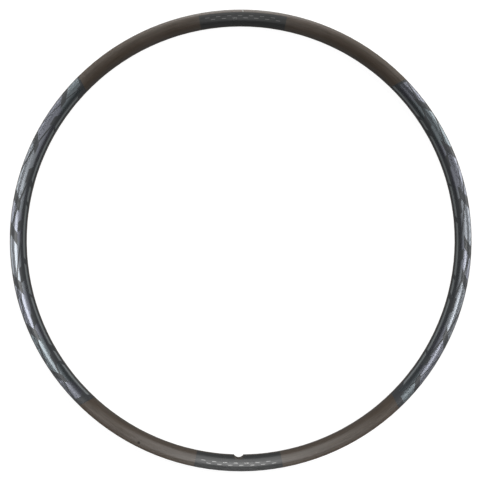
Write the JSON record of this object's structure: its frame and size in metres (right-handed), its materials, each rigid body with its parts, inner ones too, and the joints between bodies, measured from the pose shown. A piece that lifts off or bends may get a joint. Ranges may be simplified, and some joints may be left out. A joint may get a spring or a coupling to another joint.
{
  "type": "bicycle rim",
  "caption": "Hollow moulded carbon hoop that carries a bicycle tyre: rounded crown drilled for spokes, hookless flanges, valve relief and dark printed side films.",
  "frame": {"origin": "centre of the wheel, on the middle plane of the rim", "axes": "+Z is the axle line and points out of the side that carries the films, which is up; the valve hole is toward -Y and +X is the picture's right"},
  "size_m": [0.635, 0.635, 0.0409],
  "materials": {
    "carbon": "matte moulded carbon fibre, dark brown-grey",
    "printed_film": "glossy film, blue-grey print on near black",
    "dark_film": "satin film, dark grey with pale grey marks"
  },
  "bodies": {
    "root": {"rim": "carbon", "decal_right": "printed_film", "decal_left": "printed_film", "decal_top": "dark_film", "decal_bottom": "dark_film"}
  },
  "joints": []
}
